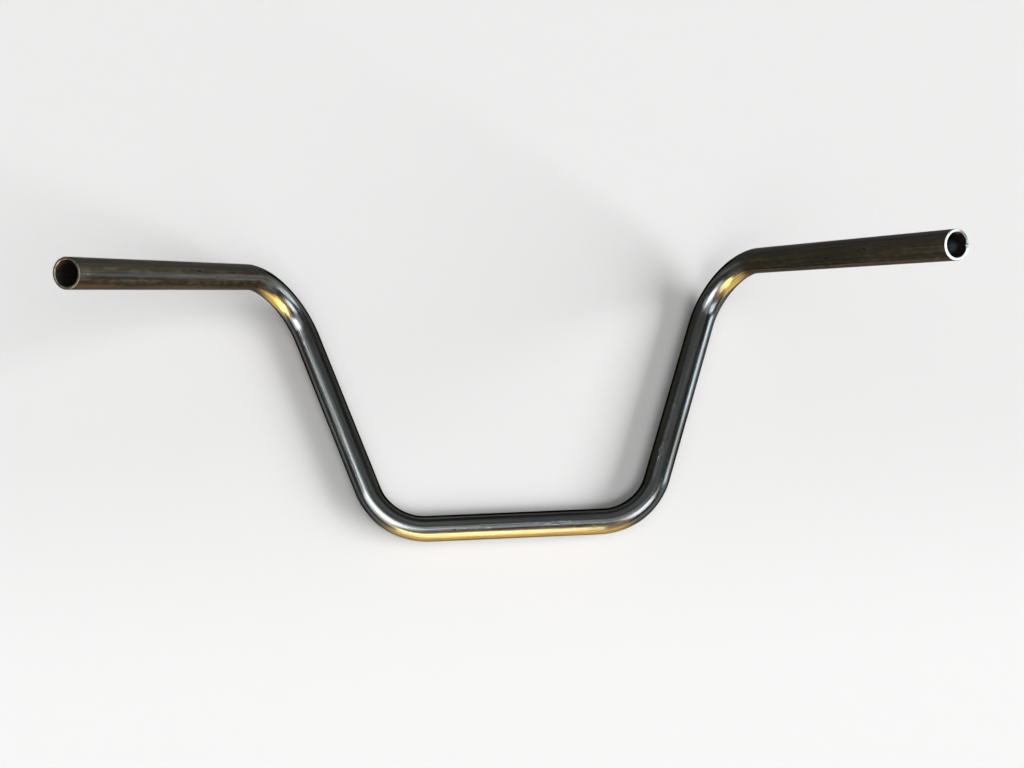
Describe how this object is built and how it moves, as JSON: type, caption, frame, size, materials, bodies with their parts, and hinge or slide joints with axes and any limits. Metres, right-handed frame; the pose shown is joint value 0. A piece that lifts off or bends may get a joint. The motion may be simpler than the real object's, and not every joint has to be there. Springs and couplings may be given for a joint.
{
  "type": "motorcycle handlebar",
  "caption": "Bare bent steel tube motorcycle handlebar: straight clamp section, legs turned up from it, and long grip ends folded back and out, with open tube ends.",
  "frame": {"origin": "middle of the clamp section, on the tube's axis", "axes": "+X along the clamp section to the right-hand side, +Y along the rise of the legs, +Z out of the legs' plane to the side of the grips; the bar lies with the legs' plane flat on the floor and the grips up"},
  "size_m": [0.7187, 0.2747, 0.3168],
  "materials": {
    "raw_steel": "bare drawn tube, dark grey with a smooth sheen, duller brown-grey grip ends with lengthwise streaks, small scratches"
  },
  "bodies": {
    "root": {"handlebar": "raw_steel"}
  },
  "joints": []
}
